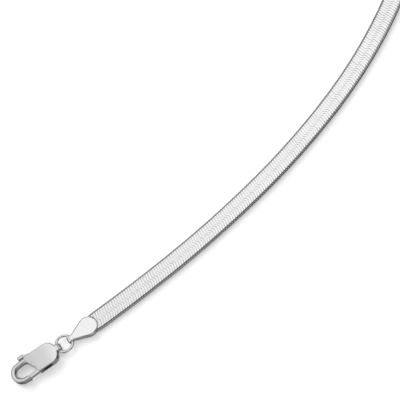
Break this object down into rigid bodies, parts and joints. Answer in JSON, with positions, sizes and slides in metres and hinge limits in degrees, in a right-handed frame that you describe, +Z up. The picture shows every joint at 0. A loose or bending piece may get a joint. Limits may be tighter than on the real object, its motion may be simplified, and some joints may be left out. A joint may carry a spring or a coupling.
{
  "type": "herringbone chain necklace",
  "caption": "Flat herringbone chain necklace lying in one loop, with teardrop end caps, jump rings and a lobster claw clasp with a sprung lever.",
  "frame": {"origin": "middle of the loop's bounding box, on the surface that the necklace lies on", "axes": "+X from the clasp across the loop to its bow, +Y across the loop, +Z up from the surface"},
  "size_m": [0.1902, 0.1156, 0.002],
  "materials": {
    "woven_silver": "bright polished silver, pressed flat in fine S-shaped rows",
    "polished_silver": "mirror polished silver",
    "clasp_silver": "polished cast silver"
  },
  "bodies": {
    "necklace": {"herringbone_band": "woven_silver", "near_end_cap": "polished_silver", "far_end_cap": "polished_silver", "clasp_ring": "polished_silver", "far_ring": "polished_silver", "clasp_body": "clasp_silver", "clasp_pin": "clasp_silver"},
    "lever": {"clasp_lever": "clasp_silver"}
  },
  "joints": [
    {"name": "lever_hinge", "type": "hinge", "parent": "necklace", "child": "lever", "pos_m": [-0.08435, -0.00762, 0.00103], "axis": [0, 0, -1], "range_deg": [0, 32], "stiffness_Nm_per_rad": 0.01, "springref_deg": -17.19}
  ]
}
